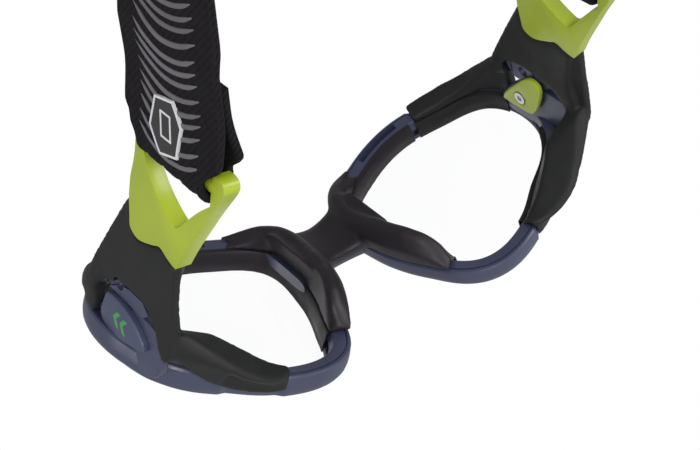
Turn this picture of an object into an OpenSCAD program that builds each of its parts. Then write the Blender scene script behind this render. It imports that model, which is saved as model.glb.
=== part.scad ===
// Wrap-around sports protective goggles with an elastic head strap.
// Origin on the mirror plane at lens-centre height, where the nose saddle sits.
// +X to the wearer's left, -Y out of the front, +Y towards the head and strap, +Z to the brow.

/* [Front] */
// Boxed width of one lens opening
eye_w = 53; // [50:0.5:56]
// Gap between the two boxed lens openings
bridge_w = 22.8; // [20:0.2:26]
// Wrap angle of each lens plane
wrap = 18.8; // [16:0.2:21]
// Rim depth, front to back
rim_t = 5.6; // [5:0.2:6.4]
// Rim thickness where the moulding is exposed
rim_h = 4.3; // [3.9:0.1:5]
// Lens thickness
lens_t = 1.8; // [1.4:0.1:2]

/* [Side arms] */
// Thickness of the rubber-covered arm
arm_t = 4.2; // [3.8:0.1:5]
// Angle by which the arms close in towards the back
arm_in = 12.4; // [10:0.2:14]
// Diameter of the upright bar that carries the strap
bar_d = 4; // [3.4:0.2:4.4]
// Length of the strap bar between its cheeks
bar_l = 22.2; // [21:0.2:24]

/* [Strap] */
// Width of the elastic
strap_w = 30; // [26:1:32]
// Thickness of one layer of elastic
strap_t = 1.6; // [1.2:0.1:2]
// Straight length of each side run behind its bar
run_l = 74; // [60:1:110]
// Bend radius of the elastic at the two back corners
corner_r = 22; // [18:1:26]
// Length of the adjuster slide along the strap
slide_w = 18; // [16:1:20]

/* [Fasteners] */
// Clearance hole for the clamp screw
screw_hole_d = 2.2; // [2.1:0.1:2.6]
// Shank diameter of the clamp screw
screw_d = 1.6; // [1.4:0.1:1.8]
// Head diameter of the clamp screw
head_d = 3.4; // [3:0.1:3.8]

/* [Hidden] */
$fn = 48;
cx = (eye_w + bridge_w)/2;             // lens centre from the mirror plane
k = eye_w/53;                          // outline scale
dx = cx - 37.9 + 26.5*(k - 1);         // sideways shift of the arms with the front's width
hw = rim_t/2;
bar_y = 47.5;                          // strap bar, in the arm's own plane
bx = 61.5 + dx - arm_t/2*cos(arm_in) - bar_y*sin(arm_in);   // bar axis, X
by = 20 - arm_t/2*sin(arm_in) + bar_y*cos(arm_in);          // bar axis, Y
sz = -19.6;                            // strap centre height
bz = -18.5;                            // strap bar centre height
ry = by + run_l;                       // back corner hinge line, Y
back_y = ry + corner_r;                // mid-plane of the rear run

// radius of the lens opening every 30 degrees, from the temple round over the brow
RAD = [26.1, 27.1, 24.1, 24.3, 25.6, 28.6, 25.4, 24.4, 26.7, 22.5, 19.9, 23.1];
function md(a, n) = a - n*floor(a/n);
function cr(a, b, c, d, t) = 0.5*(2*b + (c - a)*t + (2*a - 5*b + 4*c - d)*t*t + (3*b - a - 3*c + d)*t*t*t);
function rr(a) = let(q = md(a, 360)/30, i = floor(q), t = q - i)
  k*cr(RAD[md(i + 11, 12)], RAD[i], RAD[md(i + 1, 12)], RAD[md(i + 2, 12)], t);
function op(a) = rr(a)*[cos(a), sin(a)];
function on(a) = let(e = op(a + 2) - op(a - 2)) [e[1], -e[0]]/norm(e);
// point of the lens surface family: u, v in the lens plane, w towards the front
function pt(p, w) = let(z = w - p[0]*p[0]/180 - p[1]*p[1]/280)
  [cx + p[0]*cos(wrap) + z*sin(wrap), p[0]*sin(wrap) - z*cos(wrap), p[1]];
// a: angle round the opening, d: outward from its edge, w: towards the front
function rim(a, d, w) = pt(op(a) + d*on(a), w);
// piecewise-linear table of [position, value] rows
function tab(T, x, i = 0) = x <= T[0][0] ? T[0][1] : i >= len(T) - 1 ? T[len(T) - 1][1] :
  x <= T[i + 1][0] ? T[i][1] + (T[i + 1][1] - T[i][1])*(x - T[i][0])/(T[i + 1][0] - T[i][0]) : tab(T, x, i + 1);

// solid through a list of equal-length sections; closed joins the last to the first,
// and ccw states which way round the sections run
module skin(S, closed = false, ccw = false) {
  n = len(S[0]); m = len(S);
  F = [for (i = [0:m - (closed ? 1 : 2)], j = [0:n - 1])
        let(a = i*n + j, b = i*n + (j + 1)%n, c = ((i + 1)%m)*n + (j + 1)%n, d = ((i + 1)%m)*n + j)
        each [[a, c, b], [a, d, c]]];
  C = closed ? [] : [for (j = [1:n - 2]) each [[0, j, j + 1], [(m - 1)*n, (m - 1)*n + j + 1, (m - 1)*n + j]]];
  polyhedron([for (s = S) each s], [for (f = concat(F, C)) ccw ? [f[0], f[2], f[1]] : f], convexity = 8);
}
module flip() mirror([1, 0, 0]) children();
// arm plane: X outward through its thickness (outer face at 0), Y to the back, Z up
module arm() translate([61.5 + dx, 20, 0]) rotate([0, 0, -(-arm_in)]) children();
module slab(x0, x1) translate([x0, 0, 0]) rotate([90, 0, 90]) linear_extrude(x1 - x0) children();
module hole_x(d, x0, x1, y, z) translate([x0, y, z]) rotate([0, 90, 0]) cylinder(d = d, h = x1 - x0);

// ---- front frame ----
// exposed rim stands proud; under the side pad it steps down
RIM_D = [[0, 3.3], [18, 3.3], [22, 3.3], [74, 3.3], [78, 4.3], [268, 4.3], [272, 3.3], [300, 3.3], [306, 4.3], [340, 4.3], [352, 3.3], [360, 3.3]];
function rim_sec(a) = let(h = tab(RIM_D, a)*rim_h/4.3)
  [for (q = [[0, -hw], [h - 1.5, -hw], [h - 0.1, 0.9 - hw], [h, 1.2], [h - 0.9, hw + 0.4], [0.8, hw + 0.5],
    [-1, hw - 0.1], [-0.8, 1.6], [0.6, 1.6], [0.6, -0.4], [-0.5, -0.4]]) rim(a, q[0], q[1])];
module half_rim() {
  difference() {
    skin([for (a = [0:6:354]) rim_sec(a)], closed = true, ccw = true);
    skin([for (a = [87:5:117]) [for (q = [[1.2, -5], [2.8, -5], [2.8, 5], [1.2, 5]]) rim(a, q[0], q[1])]], ccw = true);
  }
}
// bridge bar between the rims: rows of [x, y of mid-thickness, low z, high z]
BR = [[-13.6, -2.2, -1, 15], [-10, -4, 1.5, 14.5], [-5, -5.8, 4, 13.2], [0, -6.4, 4.8, 12.8], [5, -5.8, 4, 13.2], [10, -4, 1.5, 14.5], [13.6, -2.2, -1, 15]];
module bridge() skin([for (b = BR) let(s = b[0]*(bridge_w/22.8), h = 1.9)
  [[s, b[1] - h + 0.8, b[2]], [s, b[1] + h - 0.5, b[2]], [s, b[1] + h, b[2] + 1], [s, b[1] + h, b[3] - 1],
   [s, b[1] + h - 0.5, b[3]], [s, b[1] - h + 0.8, b[3]], [s, b[1] - h, b[3] - 1.4], [s, b[1] - h, b[2] + 1.4]]]);
// temple lug: plate behind the rim that the arm is screwed to
module lug() arm() slab(-2.9, -1.2) polygon([[-9, 9], [-6, 10], [0, 5.6], [3.6, 1.5], [3.6, -3.5], [4.9, -6], [5, -11], [4.6, -14.4], [3.6, -15], [1, -15.7], [-2, -16.6], [-5, -16.6], [-8, -14], [-9, -9]]);
module front_frame() color([0.20, 0.22, 0.36]) {
  difference() {
    union() { half_rim(); flip() half_rim(); bridge(); lug(); flip() lug(); }
    arm() hole_x(3.2, -5, 1, 0, 0);
    flip() arm() hole_x(3.2, -5, 1, 0, 0);
  }
}

// ---- lenses ----
function lq(i, j, n) = i/3*(op(j*360/n) + 0.35*on(j*360/n));
module lens() color([0.85, 0.88, 0.92, 0.4]) {
  n = 60;
  P = concat([pt([0, 0], -0.3 + lens_t)], [for (i = [1:3], j = [0:n - 1]) pt(lq(i, j, n), -0.3 + lens_t)],
             [pt([0, 0], -0.3)], [for (i = [1:3], j = [0:n - 1]) pt(lq(i, j, n), -0.3)]);
  o = 3*n + 1;
  T = [for (j = [0:n - 1]) let(g = (j + 1)%n) each concat(
    [[0, 1 + j, 1 + g], [o, o + 1 + g, o + 1 + j]],
    [for (i = [0, 1], t = [[1 + i*n + j, 1 + (i + 1)*n + j, 1 + (i + 1)*n + g], [1 + i*n + j, 1 + (i + 1)*n + g, 1 + i*n + g],
      [o + 1 + i*n + j, o + 1 + (i + 1)*n + g, o + 1 + (i + 1)*n + j], [o + 1 + i*n + j, o + 1 + i*n + g, o + 1 + (i + 1)*n + g]]) t],
    [[1 + 2*n + j, o + 1 + 2*n + j, o + 1 + 2*n + g], [1 + 2*n + j, o + 1 + 2*n + g, 1 + 2*n + g]])];
  polyhedron(P, [for (t = T) [t[0], t[2], t[1]]], convexity = 4);
}
module lens_left() lens();
module lens_right() flip() lens();

// ---- nose pad: two wings joined by a saddle ----
CREST = [[126, -3.6, 2.6], [132, -4.4, 2.2], [140, -6.4, 1], [150, -8.4, 0], [162, -9, -0.4], [171, -10, -0.8], [182, -11.4, -1.2], [199, -11.8, -1.4], [210, -10.6, -1.4], [218, -8.2, -1], [225, -4.8, 0.6]];
function wing_sec(a) = let(c = tab(CREST, a), e = tab([for (r = CREST) [r[0], r[2]]], a), m = (c - hw)/2)
  [for (q = [[-0.9, -hw - 0.08], [(e - 1.6)/2, m], [e - 0.3, c + 1.2], [e + 0.6, c], [e + 0.8 + 1.8*min(1, (a - 126)/16), c + 0.8], [4.2, m], [4, -hw - 0.08]]) rim(a, q[0], q[1])];
SAD = [[-12.2, -0.7, 5.2, -2, 15.2], [-9, -1.6, 3.2, -0.4, 15.8], [-4.5, -3.6, 0.8, 1.6, 15.4], [0, -4.3, -0.2, 2.4, 15.2],
       [4.5, -3.6, 0.8, 1.6, 15.4], [9, -1.6, 3.2, -0.4, 15.8], [12.2, -0.7, 5.2, -2, 15.2]];
module saddle() skin([for (b = SAD) let(s = b[0]*(bridge_w/22.8))
  [[s, b[1], b[3]], [s, b[2] - 1, b[3] - 1], [s, b[2], b[3] + 1], [s, b[2], b[4] - 2], [s, b[2] - 1.2, b[4]], [s, b[1], b[4]]]]);
module wing() skin([for (a = [126:7:224]) wing_sec(a)], ccw = true);
module nose_pad() color([0.13, 0.11, 0.14]) difference() {
  union() { wing(); flip() wing(); saddle(); }
  translate([0, -6, 9]) rotate([-90, 0, 0]) cylinder(d = 3.2, h = 3.6);
}
// moulded stud that locks the saddle to the bridge
module bridge_stud() color([0.20, 0.22, 0.36]) translate([0, -4.25, 9]) rotate([-90, 0, 0]) cylinder(d = 3, h = 1.7);

// ---- side arms ----
// stiff core inside the rubber, from the lug to the strap loop
module arm_core() color([0.20, 0.22, 0.36]) arm() difference() {
  union() {
    slab(-2.9, -1.4) polygon([[4.4, -5], [7, -9], [14, -13.5], [24, -16.5], [31, -19.8], [31, -6.5], [18, -0.6], [10, 6.4], [6.4, 6.2], [4.4, 2.6]]);
    slab(-1.5, -0.5) polygon([[5.5, 3], [8.4, -1.6], [9.2, -5], [9.2, -9.6], [7.2, -12], [5.5, -10]]);
    slab(-3.3, -2.8) polygon([[5.6, -5], [9.4, -7.6], [10.9, -4], [10.9, 1.8], [8.6, 5], [6, 3.4]]);
  }
  hole_x(3, -6, 2, 8.4, -0.9);
  for (z = [3.1, -4.7]) translate([-4.2, 5, z - 0.2]) cube([1.2, 7, 0.4]);
}
module arm_core_left() arm_core();
module arm_core_right() flip() arm_core();

// rubber over-moulding: brow branch, cheek branch and temple plate
// rows of [angle, d and w of rear inner edge, d and w of the crease, outer d, front w]
CHK = [[268, 2.4, -4.6, 4.4, -4.1, 4.6, 0.9], [276, 2.0, -5.6, 8.2, -3.6, 5.2, 0.9], [284, 3.0, -7.4, 11, -4.8, 5.5, 0.8],
       [292, 3.4, -9, 12.2, -5.8, 5.7, 0.6], [300, 3.6, -10.2, 12.4, -6.6, 5.9, 0.3], [308, 3.4, -11.2, 12.4, -7.5, 6.1, -0.4],
       [316, 2.6, -12.2, 12, -8.8, 6.4, -1.6]];
BRW = [[76, -0.9, -4.6, 4.2, -4.4, 4.6, -1], [66, -0.9, -5, 4.4, -4.8, 4.7, -1], [54, -0.9, -5.6, 4.5, -5.2, 4.6, -1.2],
       [42, -0.8, -7, 4.2, -5.8, 4.4, -1.6], [32, -0.2, -9.6, 3.8, -8.5, 4.2, -3], [22, 1, -13, 3.6, -12.8, 4, -6], [14, 1, -16, 3.6, -16, 4, -8]];
function pad_sec(r) = let(h = max(3.5, min(4.4, tab(RIM_D, r[0])*rim_h/4.3 + 0.12)))
  [for (q = [[h, -hw - 0.08], [min(0, r[1]), -hw - 0.08], [r[1], r[2]], [r[3] - 1.6, (r[2]*1 + r[4]*2)/3 - 0.3], [r[3], r[4]], [r[5] + 0.2, (r[4] + r[6])/2], [r[5], r[6]], [h, min(r[6], 1)]]) rim(r[0], q[0], q[1])];
// wavy line where the rubber grips the loop
WV = [[31.5, -3.2], [27, -3.7], [24.3, -4.3], [23.2, -7.3], [24.7, -12], [25.8, -14.7], [24.9, -17.2], [24.3, -19.2], [24.2, -20.5]];
module plate2d() polygon(concat([[31.5, -3.2], [21, 2.9], [9.4, 9.4], [6.4, 10.6], [3.4, 10.4], [2.4, 8.2], [4.6, 6], [6.2, 2.6], [9, -2], [9.6, -5],
  [9.6, -10], [7.6, -13.5], [4.4, -15.5], [1.4, -16.4], [-0.2, -18.4], [0.6, -20], [4.4, -20.8], [9, -20.8], [13.6, -20.6], [18, -20.4], [21, -20.3]], [for (i = [8:-1:1]) WV[i]]));
module side_pad() color([0.10, 0.11, 0.12]) difference() {
  union() {
    skin([for (i = [len(CHK) - 1:-1:0]) pad_sec(CHK[i])]);
    skin([for (r = BRW) pad_sec(r)]);
    hull() {
      skin([pad_sec(CHK[6]), pad_sec(CHK[5])]);
      arm() slab(-arm_t, -0.6) polygon([[2, -17.2], [6, -16.6], [7, -20.2], [3, -20.3]]);
    }
    arm() slab(-arm_t, 0) plate2d();
  }
  arm() slab(-3.05, -1.25) polygon([[4, -5.6], [6.8, -9.6], [14, -14.2], [24, -17.2], [31.6, -20.6], [31.6, -5.8], [18, 0.1], [10, 7.1], [6, 6.9], [4, 3.2]]);
  arm() slab(-1.5, 1) polygon([[3, 6.2], [6, 5], [9, -1], [9.75, -5], [9.75, -10.2], [7.6, -13.7], [4.9, -15.4], [3, -16]]);
  arm() slab(-arm_t - 1, -2.9) polygon([[5, -9.2], [9.8, -9.2], [11.3, -4.2], [11.3, 2], [8.8, 5.6], [5, 4.6]]);
  arm() hole_x(3.2, -7, 2, 8.4, -0.9);
}
module side_pad_left() side_pad();
module side_pad_right() flip() side_pad();

// loop that carries the strap; its front edge is waved where the rubber grips it
module strap_loop() color([0.60, 0.68, 0.16]) arm() difference() {
  union() {
    slab(-arm_t + 0.3, -0.3) difference() {
      polygon(concat([[31.6, -3.1], [36, -3.4], [41.5, -4.6], [46.5, -4.6], [49.6, -5.2], [50.2, -7], [50.2, -31.6], [49.6, -33], [48.4, -33.4], [47, -32.8],
        [44.6, -31.4], [40.5, -28.9], [36.4, -26.7], [31.3, -23.9], [27.6, -22]], [for (i = [8:-1:1]) WV[i] + [0.1, 0]]));
      polygon([[44, bz + bar_l/2], [40.6, -8.8], [37, -12.2], [34.6, -15.9], [33.2, -18.8], [33.2, -19.8], [35, -21.6], [38, -24], [40.9, -26.6], [43.6, bz - bar_l/2], [60, bz - bar_l/2], [60, bz + bar_l/2]]);
    }
    translate([-arm_t/2, bar_y, bz - bar_l/2 - 1]) cylinder(d = bar_d, h = bar_l + 2);
  }
  slab(-3.1, -1.2) polygon([[20, -0.8], [31.6, -5.8], [31.6, -20.6], [24, -17.2], [20, -16.2]]);
}
module strap_loop_left() strap_loop();
module strap_loop_right() flip() strap_loop();

// ---- badge cap, emblem, clamp plate, screw and insert ----
module badge2d() polygon([[4.9, 1.2], [4.2, 2.6], [0.7, 4], [-1.6, 4.4], [-3.4, 3.6], [-4.2, 1.4], [-4.2, -3], [-3.7, -5.6], [-1.8, -11.6], [-0.9, -12.4], [0.3, -12], [1.4, -10.8], [3.6, -7.8], [5, -3]]);
module badge_cap() color([0.22, 0.25, 0.40]) arm() difference() {
  union() { slab(-1.1, 0.5) badge2d(); }
  slab(0.1, 2) translate([0.2, -3.2]) rotate(-8) square([4.4, 6.4], center = true);
  hole_x(3, -2, -0.2, 0, 0);
}
module badge_cap_left() badge_cap();
module badge_cap_right() flip() badge_cap();
// inlay: a plain chevron pair
module badge_emblem() color([0.15, 0.45, 0.22]) arm() slab(0.12, 0.55) translate([0.2, -3.2]) rotate(-8) {
  for (s = [0, 2.6]) polygon([[-2, -2.6 + s], [0, -1.2 + s], [2, -2.6 + s], [2, -1.4 + s], [0, 0 + s], [-2, -1.4 + s]]);
}
module badge_emblem_left() badge_emblem();
module badge_emblem_right() flip() badge_emblem();
module clamp2d() polygon([[-3.4, 6.7], [-0.7, 5.4], [6.6, -1.2], [8.6, -3.8], [8.9, -5.6], [7.9, -7.6], [5.4, -7.8], [0.3, -6.3], [-3, -4.4], [-3.9, -2.9], [-3.8, 5.7]]);
module clamp_plate() color([0.62, 0.70, 0.17]) arm() difference() {
  slab(-4.8, -3.5) clamp2d();
  hole_x(screw_hole_d, -6, 0, 0, 0);
  hole_x(head_d + 0.4, -6, -4.2, 0, 0);
}
module clamp_plate_left() clamp_plate();
module clamp_plate_right() flip() clamp_plate();
module clamp_screw() color([0.72, 0.72, 0.74]) arm() difference() {
  union() { hole_x(screw_d, -4.8, -0.5, 0, 0); hole_x(head_d, -4.9, -4.2, 0, 0); }
  translate([-5, 0, 0]) rotate([0, 90, 0]) cylinder(d = 1.7, h = 0.5, $fn = 6);
}
module clamp_screw_left() clamp_screw();
module clamp_screw_right() flip() clamp_screw();
module screw_insert() color([0.80, 0.66, 0.35]) arm() difference() {
  hole_x(2.9, -2.6, -0.25, 0, 0);
  hole_x(screw_d + 0.1, -3, 1, 0, 0);
}
module screw_insert_left() screw_insert();
module screw_insert_right() flip() screw_insert();

// ---- strap ----
// side run: folded round the bar, sewn, then one layer back to the corner
module strap_run() color([0.11, 0.10, 0.13]) {
  ri = bar_d/2 + 0.35; ro = ri + strap_t;
  translate([bx, by, bz - bar_l/2 + 0.5]) linear_extrude(bar_l - 1) {
    difference() {
      union() {
        circle(r = ro);
        polygon([[-ro*0.98, 1], [ro*0.98, 1], [strap_t, 15], [strap_t, 20], [-strap_t, 20], [-strap_t, 15]]);
      }
      circle(r = ri);
      polygon([[-ri*0.96, 1], [ri*0.96, 1], [0.05, 11], [-0.05, 11]]);
    }
  }
  translate([bx, by, sz - strap_w/2]) linear_extrude(strap_w)
    polygon([[-strap_t, 12.5], [strap_t, 12.5], [strap_t, 25], [strap_t/2, 27], [strap_t/2, run_l], [-strap_t/2, run_l], [-strap_t/2, 27], [-strap_t, 25]]);
  translate([bx, ry, sz - strap_w/2]) cylinder(d = strap_t, h = strap_w);
}
module strap_run_left() strap_run();
module strap_run_right() flip() strap_run();
// rows of stitching that close the fold
module bar_tack() color([0.3, 0.3, 0.33]) for (s = [0, 3]) translate([bx - strap_t - 0.37, by + 19 + s, sz - 11]) cube([0.35, 0.9, 22]);
module bar_tack_left() bar_tack();
module bar_tack_right() flip() bar_tack();
// back corner points at radius r, from the side run round to the rear run
function corner(r) = [for (t = [0:7.5:90]) [bx - corner_r + r*cos(t), ry + r*sin(t)]];
function back(r) = let(c = corner(r)) concat([[c[0][0], ry + strap_t/2 + 0.35]], [for (i = [1:len(c) - 1]) c[i]],
  [for (i = [len(c) - 1:-1:1]) [-c[i][0], c[i][1]]], [[-c[0][0], ry + strap_t/2 + 0.35]]);
module strap_rear() color([0.11, 0.10, 0.13]) translate([0, 0, sz - strap_w/2]) linear_extrude(strap_w)
  polygon(concat(back(corner_r + strap_t/2), [for (q = [1:1:2*13]) let(B = back(corner_r - strap_t/2)) B[26 - q]]));
// free end of the elastic, returned through the slide and lying on the outside
module strap_tail() color([0.11, 0.10, 0.13]) translate([0, back_y + strap_t/2 + 0.5, sz - strap_w/2 + 0.5]) {
  translate([-slide_w/2 - 17, 0, 0]) cube([17 + slide_w/2 + 4, strap_t, strap_w - 1]);
}
module adjuster_slide() color([0.08, 0.08, 0.09]) translate([0, back_y, sz]) difference() {
  translate([-slide_w/2, -strap_t/2 - 2.2, -strap_w/2 - 3]) cube([slide_w, 2*strap_t + 4.9, strap_w + 6]);
  translate([-slide_w, -strap_t/2 - 0.4, -strap_w/2 - 0.5]) cube([2*slide_w, 2*strap_t + 1.3, strap_w + 1]);
  for (s = [-1, 1]) translate([s*slide_w/4 - slide_w/10, -20, -strap_w/2 - 0.5]) cube([slide_w/5, 19.5, strap_w + 1]);
  for (s = [-1, 1]) translate([s*slide_w/4 - slide_w/10, 0.5, -strap_w/2 - 0.5]) cube([slide_w/5, 19.5, strap_w + 1]);
}

front_frame();
lens_left();
lens_right();
nose_pad();
bridge_stud();
arm_core_left();
arm_core_right();
side_pad_left();
side_pad_right();
strap_loop_left();
strap_loop_right();
badge_cap_left();
badge_cap_right();
badge_emblem_left();
badge_emblem_right();
clamp_plate_left();
clamp_plate_right();
clamp_screw_left();
clamp_screw_right();
screw_insert_left();
screw_insert_right();
strap_run_left();
strap_run_right();
strap_rear();
strap_tail();
bar_tack_left();
bar_tack_right();
adjuster_slide();
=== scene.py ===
import bpy, bmesh, math
import numpy as np
from mathutils import Vector, Matrix


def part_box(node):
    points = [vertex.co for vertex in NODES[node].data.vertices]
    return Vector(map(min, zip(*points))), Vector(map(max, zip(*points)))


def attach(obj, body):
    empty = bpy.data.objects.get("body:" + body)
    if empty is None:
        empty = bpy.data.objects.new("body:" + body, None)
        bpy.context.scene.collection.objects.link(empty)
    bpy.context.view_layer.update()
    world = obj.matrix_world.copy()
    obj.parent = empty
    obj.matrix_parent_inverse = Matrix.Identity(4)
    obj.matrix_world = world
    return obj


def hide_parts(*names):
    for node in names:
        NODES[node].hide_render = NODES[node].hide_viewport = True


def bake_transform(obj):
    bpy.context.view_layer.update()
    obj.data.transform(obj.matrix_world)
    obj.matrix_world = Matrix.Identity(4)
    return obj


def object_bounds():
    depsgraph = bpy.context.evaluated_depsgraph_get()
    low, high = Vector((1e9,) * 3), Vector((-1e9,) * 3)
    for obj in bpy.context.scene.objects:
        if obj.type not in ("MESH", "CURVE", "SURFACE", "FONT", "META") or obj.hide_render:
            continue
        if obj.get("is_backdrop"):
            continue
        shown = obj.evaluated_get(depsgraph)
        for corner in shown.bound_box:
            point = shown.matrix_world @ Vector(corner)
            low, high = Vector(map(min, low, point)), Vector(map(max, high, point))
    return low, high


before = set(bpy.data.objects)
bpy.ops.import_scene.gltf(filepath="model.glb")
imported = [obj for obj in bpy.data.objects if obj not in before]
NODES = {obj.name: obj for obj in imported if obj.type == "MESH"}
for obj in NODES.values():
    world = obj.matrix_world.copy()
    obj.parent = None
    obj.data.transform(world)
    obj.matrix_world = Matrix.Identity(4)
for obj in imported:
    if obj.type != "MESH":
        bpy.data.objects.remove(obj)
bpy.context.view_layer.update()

MM = 0.001
scene = bpy.context.scene

# ------------------------------------------------------------------ shared dimensions (mm)
CX, WRAP, HW = 37.9, math.radians(18.8), 2.8
RAD = [26.1, 27.1, 24.1, 24.3, 25.6, 28.6, 25.4, 24.4, 26.7, 22.5, 19.9, 23.1]
ARM_T, ARM_IN, BAR_Y = 4.2, math.radians(12.4), 47.5
BX = 61.5 - ARM_T / 2 * math.cos(ARM_IN) - BAR_Y * math.sin(ARM_IN)
BY = 20 - ARM_T / 2 * math.sin(ARM_IN) + BAR_Y * math.cos(ARM_IN)
SZ, SW, ST, RUN, CR = -19.6, 30.0, 1.6, 74.0, 22.0
RY = BY + RUN
BACK = RY + CR


def rr(a):
    q = (a % 360) / 30
    i = int(math.floor(q)) % 12
    t = q - math.floor(q)
    p0, p1, p2, p3 = RAD[(i + 11) % 12], RAD[i], RAD[(i + 1) % 12], RAD[(i + 2) % 12]
    return 0.5 * (2 * p1 + (p2 - p0) * t + (2 * p0 - 5 * p1 + 4 * p2 - p3) * t * t + (3 * p1 - p0 - 3 * p2 + p3) * t ** 3)


def op(a):
    r = rr(a)
    return np.array([r * math.cos(math.radians(a)), r * math.sin(math.radians(a))])


def on(a):
    e = op(a + 2) - op(a - 2)
    return np.array([e[1], -e[0]]) / np.linalg.norm(e)


def pt(p, w):
    z = w - p[0] ** 2 / 180 - p[1] ** 2 / 280
    return (CX + p[0] * math.cos(WRAP) + z * math.sin(WRAP), p[0] * math.sin(WRAP) - z * math.cos(WRAP), p[1])


def rim(a, d, w):
    return pt(op(a) + d * on(a), w)


def tab(T, x):
    xs = [t[0] for t in T]
    return float(np.interp(x, xs, [t[1] for t in T]))


def arm_pt(x, y, z):
    """arm plane to the row frame"""
    c, s = math.cos(ARM_IN), math.sin(ARM_IN)
    return (61.5 + x * c - y * s, 20 + x * s + y * c, z)


def catmull(P, n, closed=True):
    """smooth curve through the points P, n steps a span"""
    P = [np.array(p, float) for p in P]
    m = len(P)
    out = []
    for i in range(m if closed else m - 1):
        if closed:
            a, b, c, d = P[i - 1], P[i], P[(i + 1) % m], P[(i + 2) % m]
        else:
            a, b, c, d = P[max(i - 1, 0)], P[i], P[i + 1], P[min(i + 2, m - 1)]
        for k in range(n):
            t = k / n
            out.append(0.5 * (2 * b + (c - a) * t + (2 * a - 5 * b + 4 * c - d) * t * t + (3 * b - a - 3 * c + d) * t ** 3))
    if not closed:
        out.append(P[-1])
    return out


def chaikin(P, n=2, closed=True):
    P = [np.array(p, float) for p in P]
    for _ in range(n):
        Q = []
        m = len(P)
        for i in range(m if closed else m - 1):
            a, b = P[i], P[(i + 1) % m]
            Q += [0.75 * a + 0.25 * b, 0.25 * a + 0.75 * b]
        if not closed:
            Q = [P[0]] + Q + [P[-1]]
        P = Q
    return P


# ------------------------------------------------------------------ mesh helpers
def make(name, verts, faces, smooth=True):
    me = bpy.data.meshes.new(name)
    me.from_pydata([tuple(c * MM for c in v) for v in verts], [], faces)
    me.validate()
    bm = bmesh.new()
    bm.from_mesh(me)
    bmesh.ops.remove_doubles(bm, verts=bm.verts, dist=1e-6)
    bmesh.ops.recalc_face_normals(bm, faces=bm.faces)
    bm.to_mesh(me)
    bm.free()
    ob = bpy.data.objects.new(name, me)
    scene.collection.objects.link(ob)
    if smooth:
        for p in me.polygons:
            p.use_smooth = True
    return ob


def loft(name, S, closed=False, smooth=True):
    n, m = len(S[0]), len(S)
    V = [p for s in S for p in s]
    F = []
    for i in range(m if closed else m - 1):
        for j in range(n):
            k, l = (i + 1) % m, (j + 1) % n
            F.append((i * n + j, i * n + l, k * n + l, k * n + j))
    if not closed:
        F.append(tuple(range(n - 1, -1, -1)))
        F.append(tuple((m - 1) * n + j for j in range(n)))
    return make(name, V, F, smooth)


def slab(name, poly, x0, x1, to=arm_pt, smooth=True):
    n = len(poly)
    V = [to(x0, p[0], p[1]) for p in poly] + [to(x1, p[0], p[1]) for p in poly]
    F = [tuple(range(n)), tuple(range(2 * n - 1, n - 1, -1))] + [(j, j + n, (j + 1) % n + n, (j + 1) % n) for j in range(n)]
    return make(name, V, F, smooth)


def rod(name, a, b, r, seg=32):
    a, b = np.array(a, float), np.array(b, float)
    d = (b - a) / np.linalg.norm(b - a)
    u = np.cross(d, [0, 0, 1.0])
    if np.linalg.norm(u) < 1e-3:
        u = np.cross(d, [1.0, 0, 0])
    u /= np.linalg.norm(u)
    v = np.cross(d, u)
    ring = lambda c, r: [tuple(c + r * (math.cos(t) * u + math.sin(t) * v)) for t in np.linspace(0, 2 * math.pi, seg, endpoint=False)]
    return loft(name, [ring(a, r), ring(b, r)])


def apply(ob):
    bpy.context.view_layer.update()
    dg = bpy.context.evaluated_depsgraph_get()
    me = bpy.data.meshes.new_from_object(ob.evaluated_get(dg))
    ob.modifiers.clear()
    old = ob.data
    ob.data = me
    bpy.data.meshes.remove(old)
    return ob


def boolean(ob, other, op="DIFFERENCE", solver="EXACT"):
    m = ob.modifiers.new("b", "BOOLEAN")
    m.operation, m.object, m.solver = op, other, solver
    if solver == "EXACT":
        m.use_self = False
    apply(ob)
    bpy.data.objects.remove(other)
    return ob


def join(name, obs):
    V, F = [], []
    for o in obs:
        k = len(V)
        V += [tuple(v.co) for v in o.data.vertices]
        F += [tuple(i + k for i in p.vertices) for p in o.data.polygons]
        bpy.data.objects.remove(o)
    me = bpy.data.meshes.new(name)
    me.from_pydata(V, [], F)
    ob = bpy.data.objects.new(name, me)
    scene.collection.objects.link(ob)
    return ob


def remesh(ob, size, smooth=6, factor=0.5):
    m = ob.modifiers.new("r", "REMESH")
    m.mode, m.voxel_size, m.adaptivity = "VOXEL", size * MM, 0
    m.use_smooth_shade = True
    if smooth:
        s = ob.modifiers.new("s", "SMOOTH")
        s.factor, s.iterations = factor, smooth
    apply(ob)
    for p in ob.data.polygons:
        p.use_smooth = True
    return ob


def bevel(ob, w, seg=3, angle=40):
    m = ob.modifiers.new("bv", "BEVEL")
    m.width, m.segments, m.limit_method, m.angle_limit = w * MM, seg, "ANGLE", math.radians(angle)
    m.use_clamp_overlap = True
    m.harden_normals = False
    apply(ob)
    return soft(ob, 35)


def soft(ob, angle=35):
    """smooth shading with sharp edges kept above the angle"""
    me = ob.data
    bm = bmesh.new()
    bm.from_mesh(me)
    for e in bm.edges:
        e.smooth = not (len(e.link_faces) == 2 and e.calc_face_angle(0) > math.radians(angle))
    for f in bm.faces:
        f.smooth = True
    bm.to_mesh(me)
    bm.free()
    return ob


def decimate(ob, ratio):
    m = ob.modifiers.new("d", "DECIMATE")
    m.ratio = ratio
    apply(ob)
    for p in ob.data.polygons:
        p.use_smooth = True
    return ob


def mirrored(ob, name):
    me = ob.data.copy()
    me.transform(Matrix.Scale(-1, 4, (1, 0, 0)))
    me.flip_normals()
    o = bpy.data.objects.new(name, me)
    scene.collection.objects.link(o)
    return o


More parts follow.
